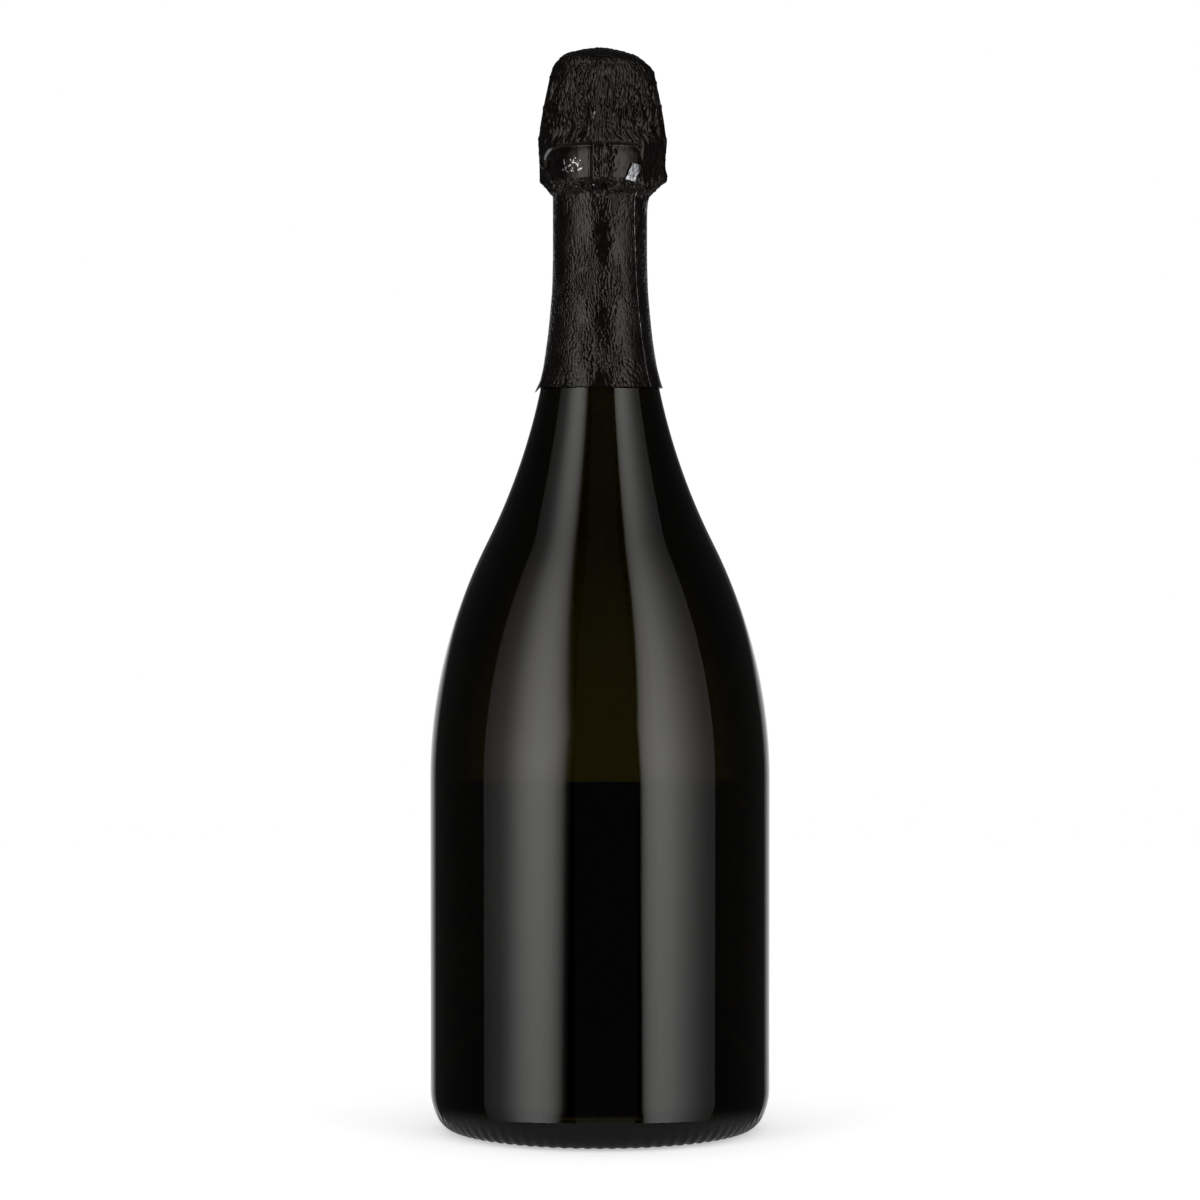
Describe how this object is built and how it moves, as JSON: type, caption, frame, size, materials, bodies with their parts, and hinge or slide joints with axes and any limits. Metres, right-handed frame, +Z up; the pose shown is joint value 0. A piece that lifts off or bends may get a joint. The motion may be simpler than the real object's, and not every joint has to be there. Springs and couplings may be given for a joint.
{
  "type": "champagne bottle",
  "caption": "Magnum sparkling-wine bottle of dark glass with a punt, cork, twisted-wire cage, cap plate and pleated foil capsule with a tear tab.",
  "frame": {"origin": "centre of the base, on the surface the bottle stands on", "axes": "+Z up along the bottle's axis, -Y towards the plain back of the glass that the picture shows, +Y towards the label"},
  "size_m": [0.118, 0.1182, 0.3749],
  "materials": {
    "glass": "polished",
    "label": "matte",
    "foil": "satin",
    "cork": "matte",
    "cork_disc": "matte",
    "plate": "gloss",
    "wire": "drawn",
    "tab": "satin"
  },
  "bodies": {
    "bottle": {"bottle_glass": "glass", "front_label": "label", "foil_skirt": "foil"},
    "cork": {"cork_body": "cork", "cork_disc_upper": "cork_disc", "cork_disc_lower": "cork_disc"},
    "cage": {"cap_plate": "plate", "cage_wire_1": "wire", "cage_wire_2": "wire", "cage_wire_3": "wire", "cage_wire_4": "wire", "cage_belt": "wire"},
    "hood": {"foil_hood": "foil", "foil_top_disc": "foil", "tear_strip": "foil"},
    "tab": {"tear_tab": "tab"}
  },
  "joints": [
    {"name": "cork_pull", "type": "slide", "parent": "bottle", "child": "cork", "axis": [0, 0, 1], "range_m": [0, 0.045]},
    {"name": "cage_lift", "type": "slide", "parent": "cork", "child": "cage", "axis": [0, 0, 1], "range_m": [0, 0.05], "deforming": ["cage_wire_1", "cage_wire_2", "cage_wire_3", "cage_wire_4", "cage_belt"]},
    {"name": "hood_lift", "type": "slide", "parent": "cage", "child": "hood", "axis": [0, 0, 1], "range_m": [0, 0.055]},
    {"name": "tab_lift", "type": "hinge", "parent": "hood", "child": "tab", "pos_m": [0.01408, -0.01268, 0.3313], "axis": [0, 0, 1], "range_deg": [0, 150]}
  ]
}
